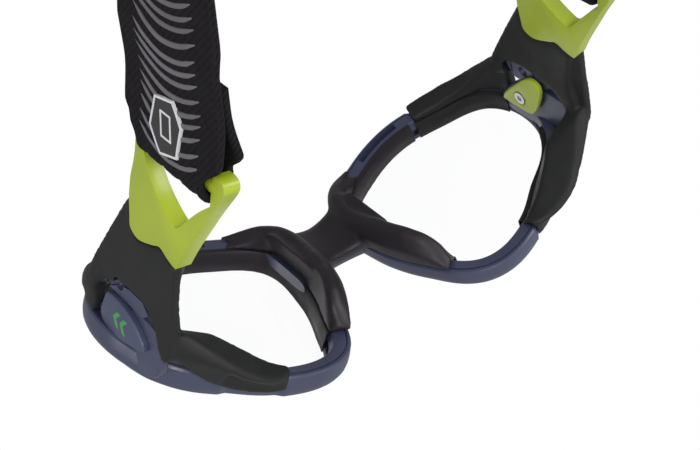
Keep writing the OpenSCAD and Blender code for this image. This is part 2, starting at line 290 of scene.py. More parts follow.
# ------------------------------------------------------------------ camera, light, stage
cam = bpy.data.objects.new("camera", bpy.data.cameras.new("camera"))
scene.collection.objects.link(cam)
cam.data.lens, cam.data.sensor_width = 68.30, 36.0
cam.data.clip_start, cam.data.clip_end = 0.01, 20
R = ((-0.776463, -0.039063, -0.628951), (-0.433325, 0.757753, 0.487893), (0.457531, 0.651371, -0.605294))
M = Matrix(((R[0][0], R[1][0], R[2][0], 0.142078), (R[0][1], R[1][1], R[2][1], 0.213213), (R[0][2], R[1][2], R[2][2], -0.190093), (0, 0, 0, 1)))
cam.matrix_world = M
scene.camera = cam

world = bpy.data.worlds.new("studio")
scene.world = world
world.use_nodes = True
wt = world.node_tree
bg = wt.nodes["Background"]
bg.inputs[0].default_value = (1.0, 1.0, 1.0, 1)
lp = wt.nodes.new("ShaderNodeLightPath")
see = wt.nodes.new("ShaderNodeMath"); see.operation = "MAXIMUM"
wt.links.new(lp.outputs["Is Camera Ray"], see.inputs[0]); wt.links.new(lp.outputs["Is Transmission Ray"], see.inputs[1])
lvl = wt.nodes.new("ShaderNodeMapRange")
lvl.inputs[3].default_value, lvl.inputs[4].default_value = 0.42, 1.0
wt.links.new(see.outputs[0], lvl.inputs[0])
wt.links.new(lvl.outputs[0], bg.inputs[1])
scene.view_settings.view_transform = "Standard"


def area(name, loc, size, power):
    L = bpy.data.lights.new(name, "AREA")
    L.energy, L.size = power, size
    o = bpy.data.objects.new(name, L)
    scene.collection.objects.link(o)
    o.location = loc
    o.rotation_mode = "QUATERNION"
    o.rotation_quaternion = (Vector((0, 0.05, -0.01)) - Vector(loc)).to_track_quat("-Z", "Y")
    return o


area("key", (0.35, 0.75, -0.75), 0.35, 5.5)
area("fill", (0.9, 0.1, 0.1), 0.5, 2.2)
area("rim", (-0.6, 0.5, -0.5), 0.35, 3.0)

# ------------------------------------------------------------------ materials
def mat(name, color, rough=0.5, metallic=0.0, spec=0.5, coat=0.0, coat_rough=0.2, sheen=0.0):
    m = bpy.data.materials.new(name)
    m.use_nodes = True
    nt = m.node_tree
    b = nt.nodes["Principled BSDF"]
    b.inputs["Metallic"].default_value = metallic
    b.inputs["Specular IOR Level"].default_value = spec
    b.inputs["Coat Weight"].default_value = coat
    b.inputs["Coat Roughness"].default_value = coat_rough
    b.inputs["Sheen Weight"].default_value = sheen
    m["_base"] = color
    return m, nt, b


def noise(nt, scale, detail=4, rough=0.5, stretch=None):
    tc = nt.nodes.new("ShaderNodeTexCoord")
    src = tc.outputs["Object"]
    if stretch:
        mp = nt.nodes.new("ShaderNodeMapping")
        mp.inputs["Scale"].default_value = stretch
        nt.links.new(src, mp.inputs[0])
        src = mp.outputs[0]
    n = nt.nodes.new("ShaderNodeTexNoise")
    n.inputs["Scale"].default_value, n.inputs["Detail"].default_value, n.inputs["Roughness"].default_value = scale, detail, rough
    nt.links.new(src, n.inputs["Vector"])
    return n.outputs["Fac"]


def ramp(nt, fac, stops):
    r = nt.nodes.new("ShaderNodeValToRGB")
    while len(r.color_ramp.elements) < len(stops):
        r.color_ramp.elements.new(0.5)
    for e, (p, c) in zip(r.color_ramp.elements, stops):
        e.position = p
        e.color = (*c, 1) if len(c) == 3 else c
    nt.links.new(fac, r.inputs[0])
    return r.outputs[0]


def rng(nt, fac, lo, hi, a=0.3, b=0.7):
    r = nt.nodes.new("ShaderNodeMapRange")
    r.inputs[1].default_value, r.inputs[2].default_value, r.inputs[3].default_value, r.inputs[4].default_value = a, b, lo, hi
    nt.links.new(fac, r.inputs[0])
    return r.outputs[0]


def bump(nt, b, fac, strength, dist=0.0002, prev=None):
    n = nt.nodes.new("ShaderNodeBump")
    n.inputs["Strength"].default_value, n.inputs["Distance"].default_value = strength, dist
    nt.links.new(fac, n.inputs["Height"])
    if prev is not None:
        nt.links.new(prev, n.inputs["Normal"])
    nt.links.new(n.outputs[0], b.inputs["Normal"])
    return n.outputs[0]


def plastic(name, dark, light, rough=(0.28, 0.42), coat=0.15, grain=900, gstr=0.12, spec=0.5):
    m, nt, b = mat(name, light, coat=coat, spec=spec)
    big = noise(nt, 45, 3)
    nt.links.new(ramp(nt, big, [(0.3, dark), (0.7, light)]), b.inputs["Base Color"])
    nt.links.new(rng(nt, noise(nt, 160, 4), *rough), b.inputs["Roughness"])
    bump(nt, b, noise(nt, grain, 3), gstr, 0.00008)
    return m


def rubber(name, dark, light, rough=(0.5, 0.68), grain=1500, gstr=0.22, sheen=0.15):
    m, nt, b = mat(name, light, spec=0.33, sheen=sheen)
    nt.links.new(ramp(nt, noise(nt, 60, 5, 0.6), [(0.3, dark), (0.72, light)]), b.inputs["Base Color"])
    nt.links.new(rng(nt, noise(nt, 120, 4), *rough), b.inputs["Roughness"])
    b.inputs["Sheen Roughness"].default_value = 0.4
    bump(nt, b, noise(nt, grain, 3), gstr, 0.00010)
    return m


NAVY = plastic("navy", (0.024, 0.029, 0.064), (0.040, 0.048, 0.096), rough=(0.30, 0.44), coat=0.12)
BADGE = plastic("navy_badge", (0.030, 0.040, 0.085), (0.045, 0.058, 0.115), rough=(0.34, 0.46))
LIME = plastic("lime", (0.30, 0.38, 0.016), (0.37, 0.455, 0.022), rough=(0.30, 0.42), coat=0.10, gstr=0.06)
GREEN = plastic("green", (0.035, 0.20, 0.055), (0.06, 0.30, 0.085), rough=(0.45, 0.6))
BLACKR = rubber("black_rubber", (0.0040, 0.0042, 0.0048), (0.0080, 0.0085, 0.0095), sheen=0.0)
NOSER = rubber("nose_rubber", (0.0080, 0.0055, 0.0080), (0.015, 0.0105, 0.015), rough=(0.42, 0.56), sheen=0.04)
SLIDE = plastic("slide_black", (0.006, 0.006, 0.007), (0.014, 0.014, 0.016), rough=(0.38, 0.5))


def metal(name, color, rough):
    m, nt, b = mat(name, color, metallic=1.0)
    nt.links.new(ramp(nt, noise(nt, 300, 4), [(0.3, tuple(c * 0.8 for c in color)), (0.7, color)]), b.inputs["Base Color"])
    nt.links.new(rng(nt, noise(nt, 900, 3, stretch=(1, 1, 8)), rough, rough + 0.18), b.inputs["Roughness"])
    bump(nt, b, noise(nt, 2000, 2), 0.08, 0.00005)
    return m


STEEL = metal("steel", (0.62, 0.62, 0.64), 0.24)
BRASS = metal("brass", (0.72, 0.52, 0.22), 0.28)


def lens_mat():
    m, nt, b = mat("clear_lens", (0.98, 0.99, 1.0), coat=0.0)
    b.inputs["Transmission Weight"].default_value = 1.0
    b.inputs["IOR"].default_value = 1.18
    nt.links.new(ramp(nt, noise(nt, 14, 3), [(0.3, (0.97, 0.975, 0.98)), (0.7, (0.995, 0.995, 1.0))]), b.inputs["Base Color"])
    nt.links.new(rng(nt, noise(nt, 70, 4), 0.0, 0.012), b.inputs["Roughness"])
    return m


LENS = lens_mat()


def elastic():
    """knitted elastic: fine cross ribs and lengthwise rows"""
    m, nt, b = mat("elastic", (0.012, 0.010, 0.013), spec=0.12, sheen=0.0)
    b.inputs["Sheen Roughness"].default_value = 0.5
    tc = nt.nodes.new("ShaderNodeTexCoord")
    def wave(direction, scale, dist=0.6):
        w = nt.nodes.new("ShaderNodeTexWave")
        w.wave_type, w.bands_direction = "BANDS", direction
        w.inputs["Scale"].default_value, w.inputs["Distortion"].default_value = scale, dist
        w.inputs["Detail Scale"].default_value = 3
        nt.links.new(tc.outputs["Object"], w.inputs["Vector"])
        return w.outputs["Fac"]
    cross, rows = wave("DIAGONAL", 420), wave("Z", 480)
    mx = nt.nodes.new("ShaderNodeMath"); mx.operation = "ADD"
    nt.links.new(cross, mx.inputs[0]); nt.links.new(rows, mx.inputs[1])
    nt.links.new(ramp(nt, mx.outputs[0], [(0.35, (0.0035, 0.0030, 0.0040)), (0.95, (0.0100, 0.0085, 0.0105))]), b.inputs["Base Color"])
    nt.links.new(rng(nt, noise(nt, 500, 3), 0.72, 0.9), b.inputs["Roughness"])
    bump(nt, b, mx.outputs[0], 0.3, 0.00008)
    return m


ELASTIC = elastic()
SILICONE = rubber("silicone_rib", (0.085, 0.080, 0.090), (0.14, 0.13, 0.148), rough=(0.36, 0.5), sheen=0.0, gstr=0.1)
PRINT = rubber("print_white", (0.50, 0.50, 0.52), (0.68, 0.68, 0.70), rough=(0.5, 0.65), sheen=0.0, gstr=0.15)
THREAD = rubber("thread", (0.045, 0.044, 0.05), (0.09, 0.088, 0.095), rough=(0.7, 0.85), sheen=0.3, gstr=0.4)


def dress(ob, material):
    ob.data.materials.clear()
    ob.data.materials.append(material)
    return ob


def carry(node, material):
    o = NODES[node]
    if not o.material_slots:
        o.data.materials.append(material)
    for s in o.material_slots:
        s.material = material


def place(ob, body, slot, material, *nodes):
    dress(ob, material)
    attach(ob, body)
    if nodes:
        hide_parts(*nodes)
    return ob


for side in ("left", "right"):
    carry("lens_" + side, LENS)
    carry("arm_core_" + side, NAVY)
    carry("badge_emblem_" + side, GREEN)
    carry("screw_insert_" + side, BRASS)
    carry("clamp_screw_" + side, STEEL)
    carry("bar_tack_" + side, THREAD)
carry("front_frame", NAVY)
carry("bridge_stud", NAVY)
sl = NODES["adjuster_slide"]
sm = sl.data.copy()
sm.transform(sl.matrix_world)
slide = bpy.data.objects.new("adjuster_slide_moulded", sm)
scene.collection.objects.link(slide)
bm = bmesh.new()
bm.from_mesh(sm)
bmesh.ops.remove_doubles(bm, verts=bm.verts, dist=1e-6)
bmesh.ops.dissolve_limit(bm, angle_limit=math.radians(1), verts=bm.verts, edges=bm.edges)
bm.to_mesh(sm)
bm.free()
sm.materials.clear()
place(bevel(slide, 0.55, 4, 40), "slide", "slide_black", SLIDE, "adjuster_slide")

# ------------------------------------------------------------------ front frame: rims, bridge and lugs
RIM_D = [(0, 3.3), (18, 3.3), (22, 3.3), (74, 3.3), (78, 4.3), (268, 4.3), (272, 3.3), (300, 3.3), (306, 4.3), (340, 4.3), (352, 3.3), (360, 3.3)]


def rim_sec(a):
    h = tab(RIM_D, a)
    q = [(0.25, -HW), (h - 1.75, -HW), (h - 1.5, -HW + 0.05), (h - 1.42, -HW + 0.42), (h - 1.22, -HW + 0.45), (h - 1.1, -HW + 0.12),
         (h - 0.55, -HW + 0.35), (h - 0.18, -1.9), (h, 0), (h, 1.2), (h - 0.15, 2.1), (h - 0.55, 2.8), (h - 1.1, HW + 0.38), (h - 1.8, HW + 0.5),
         (0.6, HW + 0.5), (-0.5, HW + 0.3), (-0.95, HW - 0.1), (-0.98, 2.1), (-0.8, 1.6), (0.6, 1.6), (0.6, -0.4), (-0.5, -0.4), (-0.28, -1.6), (0.02, -HW + 0.25)]
    return [rim(a, d, w) for d, w in q]


def vent_cut(a0, a1):
    return loft("cut", [[rim(a, d, w) for d, w in ((1.15, -5), (2.65, -5), (2.65, 5), (1.15, 5))] for a in np.linspace(a0, a1, 14)])


rimL = loft("rim_left", [rim_sec(a) for a in np.arange(0, 360, 2)], closed=True)
boolean(rimL, vent_cut(87, 117))
BR = [(-13.6, -2.2, -1, 15), (-10, -4, 1.5, 14.5), (-5, -5.8, 4, 13.2), (0, -6.4, 4.8, 12.8), (5, -5.8, 4, 13.2), (10, -4, 1.5, 14.5), (13.6, -2.2, -1, 15)]
rows = catmull(BR, 6, closed=False)
def bridge_sec(b):
    x, y, z0, z1 = b
    h, out = 1.9, []
    n = 28
    for i in range(n):
        t = 2 * math.pi * i / n
        c, s = math.cos(t), math.sin(t)
        out.append((x, y + h * np.sign(c) * abs(c) ** 0.55, (z0 + z1) / 2 + (z1 - z0) / 2 * np.sign(s) * abs(s) ** 0.5))
    return out
bridge = loft("bridge", [bridge_sec(b) for b in rows])
lug = slab("lug", chaikin([(-9, 9), (-6, 10), (0, 5.6), (3.6, 1.5), (3.6, -3.5), (5, -6), (5.1, -11), (4.7, -14.6), (3.6, -15.2), (1, -15.9), (-2, -16.8), (-5, -16.8), (-8, -14), (-9, -9)], 2), -2.9, -0.9)
rimR, lugR = mirrored(rimL, "rim_right"), mirrored(lug, "lug_right")
for o in (rimL, rimR):
    soft(o, 32)
place(rimL, "goggles", "navy_plastic", NAVY, "front_frame")
place(rimR, "goggles", "navy_plastic", NAVY, "front_frame")
place(soft(bridge, 50), "goggles", "navy_plastic", NAVY, "front_frame")
place(bevel(lug, 0.3), "goggles", "navy_plastic", NAVY, "front_frame")
place(bevel(lugR, 0.3), "goggles", "navy_plastic", NAVY, "front_frame")

# ------------------------------------------------------------------ side pads
CHK = [(268, 2.4, -4.6, 4.4, -4.1, 4.6, 0.9), (276, 2.0, -5.6, 8.2, -3.6, 5.2, 0.9), (284, 3.0, -7.4, 11, -4.8, 5.5, 0.8),
       (292, 3.4, -9, 12.2, -5.8, 5.7, 0.6), (300, 3.6, -10.2, 12.4, -6.6, 5.9, 0.3), (308, 3.4, -11.2, 12.4, -7.5, 6.1, -0.4),
       (316, 2.6, -12.2, 12, -8.8, 6.4, -1.6)]
BRW = [(76, -0.9, -4.6, 4.2, -4.4, 4.6, -1), (66, -0.9, -5, 4.4, -4.8, 4.7, -1), (54, -0.9, -5.6, 4.5, -5.2, 4.6, -1.2),
       (42, -0.8, -7, 4.2, -5.8, 4.4, -1.6), (32, -0.2, -9.6, 3.8, -8.5, 4.2, -3), (22, 1, -13, 3.6, -12.8, 4, -6), (14, 1, -16, 3.6, -16, 4, -8)]


def pad_sec(r):
    h = max(3.5, min(4.4, tab(RIM_D, r[0]) + 0.12))
    q = [(h, -HW - 0.08), (min(0, r[1]), -HW - 0.08), (r[1], r[2]), (r[3] - 1.6, (r[2] + r[4] * 2) / 3 - 0.3), (r[3], r[4]), (r[5] + 0.2, (r[4] + r[6]) / 2), (r[5], r[6]), (h, min(r[6], 1))]
    return [rim(r[0], d, w) for d, w in q]


PLATE = [(31.5, -3.2), (21, 2.9), (9.4, 9.4), (6.4, 10.6), (3.4, 10.4), (2.4, 8.2), (4.6, 6), (6.2, 2.6), (9, -2), (9.6, -5),
         (9.6, -10), (7.6, -13.5), (4.4, -15.5), (1.4, -16.4), (-0.2, -18.4), (0.6, -20), (4.4, -20.8), (9, -20.8), (13.6, -20.6), (18, -20.4), (21, -20.3)]
INNER = [(4.4, -15.5), (1.4, -16.4), (0, -17.6), (0.6, -19), (4.4, -19.4), (9, -18.6), (13, -17.4), (17, -17.5), (20.4, -18.2)]
# the wavy edge against the loop, smoothed; the loop follows the same line
WAVE = [(31.5, -3.2), (27, -3.7), (24.3, -4.3), (23.2, -7.3), (24.7, -12), (25.8, -14.7), (24.9, -17.2), (24.3, -19.2), (24.2, -20.5)]


def hull(name, pts):
    me = bpy.data.meshes.new(name)
    me.from_pydata([tuple(c * MM for c in v) for v in pts], [], [])
    bm = bmesh.new()
    bm.from_mesh(me)
    bmesh.ops.convex_hull(bm, input=bm.verts)
    bmesh.ops.delete(bm, geom=[v for v in bm.verts if not v.link_faces], context="VERTS")
    bmesh.ops.recalc_face_normals(bm, faces=bm.faces)
    bm.to_mesh(me)
    bm.free()
    ob = bpy.data.objects.new(name, me)
    scene.collection.objects.link(ob)
    return ob


def build_pad():
    ch = loft("c", [pad_sec(r) for r in catmull(CHK, 5, closed=False)])
    br = loft("b", [pad_sec(r) for r in catmull(BRW, 5, closed=False)])
    wave = [tuple(p) for p in catmull(WAVE, 4, closed=False)]
    lead = [tuple(p) for p in chaikin([WAVE[0]] + PLATE[1:] + [WAVE[-1]], 2, closed=False)]
    outline = lead[:-1] + wave[::-1][:-1]
    pl = slab("p", outline, -2.3, 0)
    lead2 = [tuple(p) for p in chaikin([WAVE[0]] + PLATE[1:12] + INNER + [(23.8, -19.4)], 2, closed=False)]
    wave2 = [tuple(p) for p in catmull(WAVE[:-1] + [(23.8, -19.4)], 4, closed=False)]
    pl2 = slab("p2", lead2[:-1] + wave2[::-1][:-1], -ARM_T, -2.2)
    knee = hull("k", list(pad_sec(CHK[5])) + list(pad_sec(CHK[6])) + [arm_pt(x, y, z) for x in (-ARM_T, -0.6) for y, z in ((2, -17.2), (6, -16.6), (7, -20.2), (3, -20.3))])
    ob = join("side_pad_left", [ch, br, pl, pl2, knee])
    remesh(ob, 0.42, 22, 0.5)
    cut = rod("cut", arm_pt(-7, 8.4, -0.9), arm_pt(3, 8.4, -0.9), 1.6, 28)
    boolean(ob, cut)
    pocket = slab("cut2", chaikin([(4.4, -9.4), (10.2, -9.4), (11.5, -4.2), (11.5, 2), (8.8, 5.8), (4.4, 5)], 2), -ARM_T - 1.5, -2.9)
    boolean(ob, slab("cut3", chaikin([(2, 6.4), (6.2, 5), (9.1, -1), (9.9, -5), (9.9, -10.2), (7.6, -13.9), (2, -15.6)], 2), -1.5, 2))
    boolean(ob, pocket)
    return ob


padL = build_pad()
padR = mirrored(padL, "side_pad_right")
for o, s in ((padL, "left"), (padR, "right")):
    soft(o, 50)
    place(o, "goggles", "black_rubber", BLACKR, "side_pad_" + s)

def shade_liner(name, a0, a1):
    """dark rubber skin over the rim's inner wall: painted shade, a dark sheet standing in for the shadow along the lens
    edge
    """
    q = ((0.1, -HW - 0.1), (-1.0, -HW - 0.05), (-1.22, -HW + 0.3), (-1.26, 0), (-1.24, HW + 0.1), (-1.1, HW + 0.3), (-0.92, HW + 0.1), (-0.9, -HW + 0.3))
    return loft(name, [[rim(a, d, w) for d, w in q] for a in np.linspace(a0, a1, max(8, int(abs(a1 - a0) / 2)))])


# dark skins on the brow and cheek inner walls: painted shade for the shadow along the lens edge
for nm, a0, a1 in (("brow", 16, 76), ("cheek", 270, 344)):
    l0 = soft(shade_liner("pad_shade_lining_%s_left" % nm, a0, a1), 40)
    l1 = mirrored(l0, "pad_shade_lining_%s_right" % nm)
    place(l0, "goggles", "black_rubber", BLACKR, "side_pad_left")
    place(l1, "goggles", "black_rubber", BLACKR, "side_pad_right")

# ------------------------------------------------------------------ nose pad
CREST = [(126, -3.6, 2.6), (132, -4.4, 2.2), (140, -6.4, 1), (150, -8.4, 0), (162, -9, -0.4), (171, -10, -0.8), (182, -11.4, -1.2),
         (199, -11.8, -1.4), (210, -10.6, -1.4), (218, -8.2, -1), (225, -4.8, 0.6)]
SAD = [(-12.2, -0.7, 5.2, -2, 15.2), (-9, -1.6, 3.2, -0.4, 15.8), (-4.5, -3.6, 0.8, 1.6, 15.4), (0, -4.3, -0.2, 2.4, 15.2),
       (4.5, -3.6, 0.8, 1.6, 15.4), (9, -1.6, 3.2, -0.4, 15.8), (12.2, -0.7, 5.2, -2, 15.2)]


def wing_sec(a):
    c = tab(CREST, a) - 0.8 * min(1, (a - 126) / 14, (225 - a) / 10)
    e = tab([(r[0], r[2]) for r in CREST], a)
    m = (c - HW) / 2
    return [rim(a, d, w) for d, w in ((-0.9, -HW - 0.08), ((e - 1.6) / 2, m), (e - 0.3, c + 1.2), (e + 0.6, c), (e + 0.8 + 1.8 * min(1, (a - 126) / 16), c + 0.8), (4.3, m), (4.1, -HW - 0.08))]


wing = loft("w", [wing_sec(a) for a in np.linspace(126, 225, 44)])
wing2 = mirrored(wing, "w2")
sad = loft("s", [[(x, y0, z0), (x, y1 - 1, z0 - 1), (x, y1, z0 + 1), (x, y1, z1 - 2), (x, y1 - 1.2, z1), (x, y0, z1)] for x, y0, y1, z0, z1 in catmull(SAD, 6, closed=False)])
nose = join("nose_pad", [wing, wing2, sad])
remesh(nose, 0.42, 24, 0.5)
# dark skin on the nasal inner wall: painted shade for the shadow along the lens edge
n0 = soft(shade_liner("nose_shade_lining_left", 80, 224), 40)
n1 = mirrored(n0, "nose_shade_lining_right")
for o in (n0, n1):
    place(o, "goggles", "nose_rubber", NOSER, "nose_pad")
place(nose, "goggles", "nose_rubber", NOSER, "nose_pad")

# ------------------------------------------------------------------ strap loops
def build_loop():
    wave = [tuple(np.array(p) + (0.08, 0)) for p in catmull(WAVE, 4, closed=False)]
    rest = [(27.6, -22), (31.3, -23.9), (36.4, -26.7), (40.5, -28.9), (44.6, -31.4), (47, -32.8), (48.4, -33.4), (49.8, -33), (50.4, -31.4), (50.2, -29.6)]
    slot_ = [(43.6, -29.6), (40.9, -26.6), (38, -24), (35, -21.6), (33.2, -19.8), (33.2, -18.8), (34.6, -15.9), (37, -12.2), (40.6, -8.8), (44, -7.4)]
    top = [(50.2, -7.4), (50.2, -7), (49.6, -5.2), (46.5, -4.6), (41.5, -4.6), (36, -3.4)]
    outline = wave + [tuple(p) for p in chaikin(rest, 2, closed=False)][1:] + [tuple(p) for p in chaikin(slot_, 2, closed=False)] + [tuple(p) for p in chaikin(top, 2, closed=False)]
    ob = slab("strap_loop_left", outline, -ARM_T + 0.3, -0.3)
    bevel(ob, 0.8, 5, 50)
    return ob


loopL = build_loop()
loopR = mirrored(loopL, "strap_loop_right")
barL = rod("strap_bar_left", (BX, BY, SZ - 11), (BX, BY, SZ + 13.2), 2.0, 40)
barR = mirrored(barL, "strap_bar_right")
for o, b, s in ((loopL, barL, "left"), (loopR, barR, "right")):
    place(o, "goggles", "lime_plastic", LIME, "strap_loop_" + s)
    place(soft(b, 40), "goggles", "lime_plastic", LIME, "strap_loop_" + s)

# ------------------------------------------------------------------ badge caps and clamp plates
BADGE2D = [(4.9, 1.2), (4.2, 2.6), (0.7, 4), (-1.6, 4.4), (-3.4, 3.6), (-4.2, 1.4), (-4.2, -3), (-3.7, -5.6), (-1.8, -11.6), (-0.9, -12.4), (0.3, -12), (1.4, -10.8), (3.6, -7.8), (5, -3)]
CLAMP2D = [(-3.4, 6.7), (-0.7, 5.4), (6.6, -1.2), (8.6, -3.8), (8.9, -5.6), (7.9, -7.6), (5.4, -7.8), (0.3, -6.3), (-3, -4.4), (-3.9, -2.9), (-3.8, 5.7)]
for side in ("left", "right"):
    b = slab("badge_cap_" + side, [tuple(p) for p in catmull(BADGE2D, 4)], -1.1, 0.5)
    bevel(b, 0.35, 3, 45)
    c = slab("clamp_plate_" + side, [tuple(p) for p in chaikin(CLAMP2D, 2)], -4.8, -3.5)
    boolean(c, rod("cut", arm_pt(-6, 0, 0), arm_pt(-4.2, 0, 0), 1.9, 32))
    bevel(c, 0.4, 3, 45)
    if side == "right":
        for o in (b, c):
            o.data.transform(Matrix.Scale(-1, 4, (1, 0, 0)))
            o.data.flip_normals()
    place(b, "goggles", "navy_badge", BADGE, "badge_cap_" + side)
    place(c, "goggles", "lime_plastic", LIME, "clamp_plate_" + side)

# ------------------------------------------------------------------ strap
def width(s):
    """half width of the elastic at distance s from the front of the bar"""
    t = min(max((abs(s) - 6) / 7, 0), 1)
    return 10.6 + 4.4 * t * t * (3 - 2 * t)


def shift(s):
    """the gathered elastic sits a little higher on its bar"""
    t = min(max((abs(s) - 6) / 7, 0), 1)
    return 1.1 * (1 - t * t * (3 - 2 * t))


def band(name, path, hw, thick=ST, nz=28, ripple=None, zs=None):
    """closed band: path is a list of (x, y), hw a list of half widths"""
    P = [np.array(p, float) for p in path]
    n = len(P)
    N = []
    for i in range(n):
        d = P[min(i + 1, n - 1)] - P[max(i - 1, 0)]
        d /= np.linalg.norm(d)
        N.append(np.array([d[1], -d[0]]))
    S = []
    for i in range(n):
        sec = []
        prof = [(0.5, t) for t in np.linspace(-1, 1, nz)] + [(0.36, 1.0), (0.0, 1.0), (-0.36, 1.0)] + [(-0.5, t) for t in np.linspace(1, -1, nz)] + [(-0.36, -1.0), (0, -1.0), (0.36, -1.0)]
        for o, t in prof:
            edge = 0.35 if abs(o) == 0.5 else (0.12 if abs(o) == 0.36 else 0)
            z = SZ + (zs[i] if zs else 0) + t * (hw[i] - edge)
            r = ripple(i, z) if ripple else 0
            q = P[i] + N[i] * (o * thick + r)
            sec.append((q[0], q[1], z))
        S.append(sec)
    return loft(name, S)


def run_path():
    """outer layer of the left run, from the bar's front round the bar and up the first part of the run: x, y"""
    r = 2.0 + 0.35 + ST / 2
    out = []
    for t in np.linspace(-90, 0, 13):   # round the bar, front to outer side
        out.append((BX + r * math.cos(math.radians(t)), BY + r * math.sin(math.radians(t))))
    for y in np.arange(1.5, 26, 1.5):
        u = min(max((y - 1) / 17, 0), 1)
        u = u * u * (3 - 2 * u)
        out.append((BX + r * (1 - u) + (ST / 2 + 0.02) * u, BY + y))
    return out


def inner_path():
    r = 2.0 + 0.35 + ST / 2
    out = [(BX - r * math.cos(math.radians(t)), BY - r * math.sin(math.radians(t))) for t in np.linspace(90, 0, 13)]
    for y in np.arange(1.5, 24, 1.5):
        u = min(max((y - 1) / 17, 0), 1)
        u = u * u * (3 - 2 * u)
        out.append((BX - r * (1 - u) - (ST / 2 + 0.02) * u, BY + y))
    return out


def length_of(P):
    return np.concatenate([[0], np.cumsum([math.dist(a, b) for a, b in zip(P, P[1:])])])


def main_path(left=True):
    P = run_path()
    for y in np.arange(27.5, RUN - 0.5, 2.0):
        u = min(max((y - 26) / 4, 0), 1)
        P.append((BX + (ST / 2 + 0.02) * (1 - u), BY + y))
    if left:
        for t in np.linspace(0, 90, 25):
            P.append((BX - CR + CR * math.cos(math.radians(t)), RY + CR * math.sin(math.radians(t))))
        for x in np.arange(BX - CR - 2, -0.1, -2.0):
            P.append((x, BACK))
    else:
        P.append((BX, RY - 0.45))
    return P


def gather(L):
    def f(i, z):
        s = L[i]
        k = math.exp(-((s - 9) / 8) ** 2)
        return 0.22 * k * math.sin((z - SZ) * 1.15 + s * 0.12) + 0.12 * k * math.sin((z - SZ) * 2.3 + 1 + s * 0.3)
    return f


def dense(P, step=0.9):
    L = length_of(P)
    s = np.arange(0, L[-1], step)
    s = np.append(s, L[-1])
    A = np.array(P)
    return [(np.interp(v, L, A[:, 0]), np.interp(v, L, A[:, 1])) for v in s], s


def fold(name):
    """path of the inner layer round the bar only; the outer layer is not joined to it"""
    inner, outer = inner_path(), None
    return inner


mainL, LL = dense(main_path(True))
inL, LI = dense(inner_path())
bandL = band("strap_left_band", mainL, [width(s) for s in LL], ripple=gather(LL), zs=[shift(s) for s in LL])
tuckL = band("strap_left_tuck", inL[::-1], [width(s) - 0.4 for s in LI[::-1]], zs=[shift(s) for s in LI[::-1]])
mainR, LR = dense(main_path(False))
bandR0 = band("strap_right_band0", mainR, [width(s) for s in LR], ripple=gather(LR), zs=[shift(s) for s in LR])
bandR = mirrored(bandR0, "strap_right_band"); bpy.data.objects.remove(bandR0)
tuckR = mirrored(tuckL, "strap_right_tuck")
rearP = [(-x, y) for x, y in [(BX, RY + 0.45)] + [(BX - CR + CR * math.cos(math.radians(t)), RY + CR * math.sin(math.radians(t))) for t in np.linspace(2, 90, 24)] + [(x, BACK) for x in np.arange(BX - CR - 2, -0.1, -2.0)]]
rearD, LRR = dense(rearP)
bandB = band("strap_rear_band", rearD[::-1], [15.0] * len(rearD))
for o in (bandL, tuckL, bandR, tuckR, bandB):
    soft(o, 60)


# raised silicone ribs on the outer face
def offset_point(P, L, s, z, h):
    A = np.array(P)
    x, y = np.interp(s, L, A[:, 0]), np.interp(s, L, A[:, 1])
    x2, y2 = np.interp(s + 0.4, L, A[:, 0]), np.interp(s + 0.4, L, A[:, 1])
    x1, y1 = np.interp(s - 0.4, L, A[:, 0]), np.interp(s - 0.4, L, A[:, 1])
    d = np.array([x2 - x1, y2 - y1])
    d /= np.linalg.norm(d)
    n = np.array([d[1], -d[0]])
    return (x + n[0] * (ST / 2 + h), y + n[1] * (ST / 2 + h), z)


def rib(P, L, s0, w=0.62, h=0.34, z0=-9.6, z1=9.6, k=18):
    S = []
    for i in range(k + 1):
        t = i / k
        z = SZ + z0 + (z1 - z0) * t
        s = s0 + (3.4 * (1 - t / 0.55) ** 2 if t < 0.55 else 3.6 * ((t - 0.55) / 0.45) ** 1.7) + 0.35 * math.sin(s0 * 1.7)
        e = min(1, 6 * t + 0.25, 6 * (1 - t) + 0.25)
        S.append([offset_point(P, L, s + a * w * e, z, b * h * e - 0.06) for a, b in ((-1, 0), (-0.7, 0.75), (0, 1), (0.7, 0.75), (1, 0), (0, -0.2))])
    return S


def ribs(name, P, L, s_from, s_to, pitch=2.7, skip=None):
    V, F = [], []
    s = s_from
    while s < s_to:
        S = rib(P, L, s)
        k, n = len(V), len(S[0])
        V += [p for sec in S for p in sec]
        for i in range(len(S) - 1):
            for j in range(n):
                l = (j + 1) % n
                F.append((k + i * n + j, k + i * n + l, k + (i + 1) * n + l, k + (i + 1) * n + j))
        F.append(tuple(k + j for j in range(n - 1, -1, -1)))
        F.append(tuple(k + (len(S) - 1) * n + j for j in range(n)))
        s += pitch
    return make(name, V, F)


ribL = ribs("ribs_left", mainL, LL, 7, LL[-1] - 14)
ribR0 = ribs("ribs_right0", mainR, LR, 7, LR[-1] - 6)
ribR = mirrored(ribR0, "ribs_right"); bpy.data.objects.remove(ribR0)
ribB = ribs("ribs_rear", rearD[::-1], np.array(LRR), 36, LRR[-1] - 7)

def line(P, L, pts, w=0.55, h=0.5):
    """flat raised line through points (s, z) on the outer face; its straight pieces overlap a little at the corners"""
    V, F = [], []
    n = len(pts)
    for i in range(n):
        a, b = np.array(pts[i], float), np.array(pts[(i + 1) % n], float)
        d = (b - a) / np.linalg.norm(b - a)
        c = np.array([-d[1], d[0]])
        m = max(2, int(np.linalg.norm(b - a) / 0.8))
        k = len(V)
        for t in np.linspace(-0.03, 1.03, m + 1):
            q = a + (b - a) * t
            for u, e in ((-1, -0.1), (-0.8, h), (0.8, h), (1, -0.1)):
                V.append(offset_point(P, L, *(q + c * u * w / 2), e))
        for j in range(m):
            for r in range(4):
                r2 = (r + 1) % 4
                F.append((k + 4 * j + r, k + 4 * j + r2, k + 4 * j + 4 + r2, k + 4 * j + 4 + r))
        F += [(k + 3, k + 2, k + 1, k), tuple(k + 4 * m + r for r in range(4))]
    return V, F


